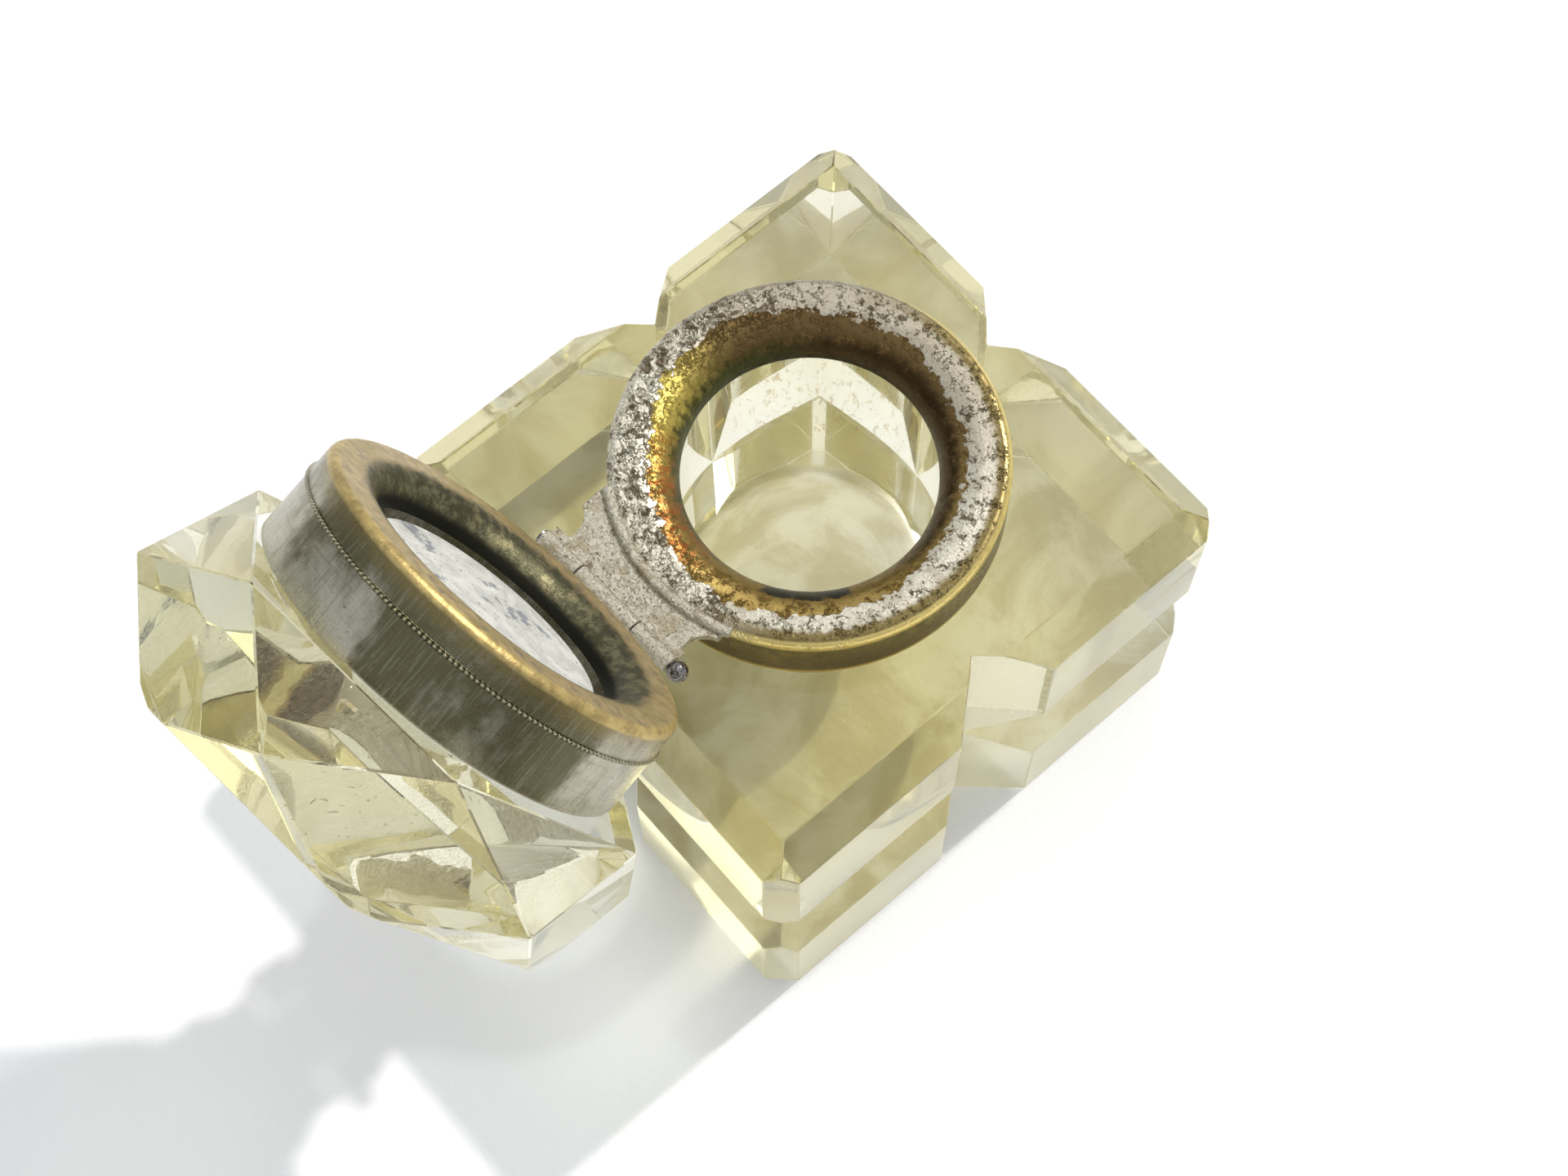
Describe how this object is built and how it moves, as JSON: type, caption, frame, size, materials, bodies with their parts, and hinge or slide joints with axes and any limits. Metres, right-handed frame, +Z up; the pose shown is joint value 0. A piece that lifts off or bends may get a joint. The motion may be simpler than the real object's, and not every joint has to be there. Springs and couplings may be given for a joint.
{
  "type": "hinged glass inkwell",
  "caption": "Square cut-glass inkwell with a round well, a cemented metal collar and a hinged metal ring holding a faceted hexagonal glass lid.",
  "frame": {"origin": "centre of the glass block's underside", "axes": "+Z up out of the well, +Y towards the hinge at the back, +X to the right seen from the front"},
  "size_m": [0.057, 0.0914, 0.0867],
  "materials": {
    "glass_body": "cut and polished",
    "lid_glass": "cut and polished",
    "base_collar": "worn silver plate",
    "lid_ring": "worn silver plate",
    "base_hinge_leaf": "silver plate",
    "lid_hinge_leaf": "silver plate",
    "base_solder_seam": "soft solder",
    "lid_solder_seam": "soft solder",
    "hinge_pin": "dark steel",
    "collar_cement": "plaster",
    "lid_cement": "plaster"
  },
  "bodies": {
    "base": {"glass_body": "glass_body", "base_collar": "base_collar", "collar_cement": "collar_cement", "base_hinge_leaf": "base_hinge_leaf", "base_solder_seam": "base_solder_seam", "hinge_pin": "hinge_pin"},
    "lid": {"lid_ring": "lid_ring", "lid_hinge_leaf": "lid_hinge_leaf", "lid_solder_seam": "lid_solder_seam", "lid_cement": "lid_cement", "lid_glass": "lid_glass"}
  },
  "joints": [
    {"name": "lid_hinge", "type": "hinge", "parent": "base", "child": "lid", "pos_m": [0.00075, 0.02394, 0.048], "axis": [0.9989, 0.0471, 0], "range_deg": [0, 116]}
  ]
}
